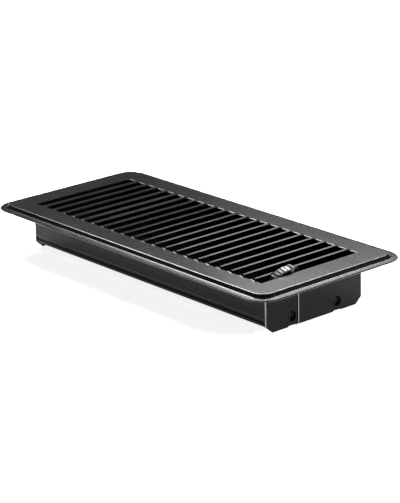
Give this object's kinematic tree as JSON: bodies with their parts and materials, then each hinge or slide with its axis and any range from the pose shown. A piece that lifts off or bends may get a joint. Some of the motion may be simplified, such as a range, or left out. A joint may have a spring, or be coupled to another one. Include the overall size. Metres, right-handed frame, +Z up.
{
  "type": "floor register",
  "caption": "Drop-in floor register of painted sheet steel: a stepped rectangular face with leaning strips over a damper box whose blades a thumb quadrant opens.",
  "frame": {"origin": "centre of the face at floor level, in the plane of the flange's underside where it rests on the floor round the duct opening", "axes": "+X along the face's long side towards the end with the thumb lever, +Y across it towards the long side away from the lever, +Z up out of the floor"},
  "size_m": [0.2922, 0.1332, 0.039],
  "materials": {
    "black_enamel": "satin black baked enamel",
    "dark_steel": "oiled dark steel"
  },
  "bodies": {
    "housing": {"faceplate": "black_enamel", "damper_box": "black_enamel", "lever_rivet": "black_enamel", "lever_washer": "dark_steel"},
    "near_damper": {"near_blade": "black_enamel", "near_blade_pins": "black_enamel", "drive_pin": "dark_steel"},
    "far_damper": {"far_blade": "black_enamel", "far_blade_pins": "black_enamel", "tie_pin": "dark_steel"},
    "link": {"tie_bar": "black_enamel"},
    "thumb_lever": {"lever": "black_enamel"}
  },
  "joints": [
    {"name": "near_blade_turn", "type": "hinge", "parent": "housing", "child": "near_damper", "pos_m": [0, -0.0206, -0.0246], "axis": [1, 0, 0], "range_deg": [0, 75]},
    {"name": "far_blade_turn", "type": "hinge", "parent": "housing", "child": "far_damper", "pos_m": [0, 0.0206, -0.0246], "axis": [1, 0, 0], "range_deg": [0, 75]},
    {"name": "lever_swing", "type": "hinge", "parent": "housing", "child": "thumb_lever", "pos_m": [0.1193, -0.0206, -0.0133], "axis": [1, 0, 0], "range_deg": [-45.1, 0]},
    {"name": "tie_bar_pivot", "type": "hinge", "parent": "near_damper", "child": "link", "pos_m": [0.1133, -0.01756, -0.02063], "axis": [1, 0, 0], "range_deg": [-75, 0]}
  ],
  "couplings": [
    {"joint": "far_blade_turn", "follows": "near_blade_turn", "ratio": 1},
    {"joint": "lever_swing", "follows": "near_blade_turn", "ratio": -0.6011},
    {"joint": "tie_bar_pivot", "follows": "near_blade_turn", "ratio": -1}
  ]
}
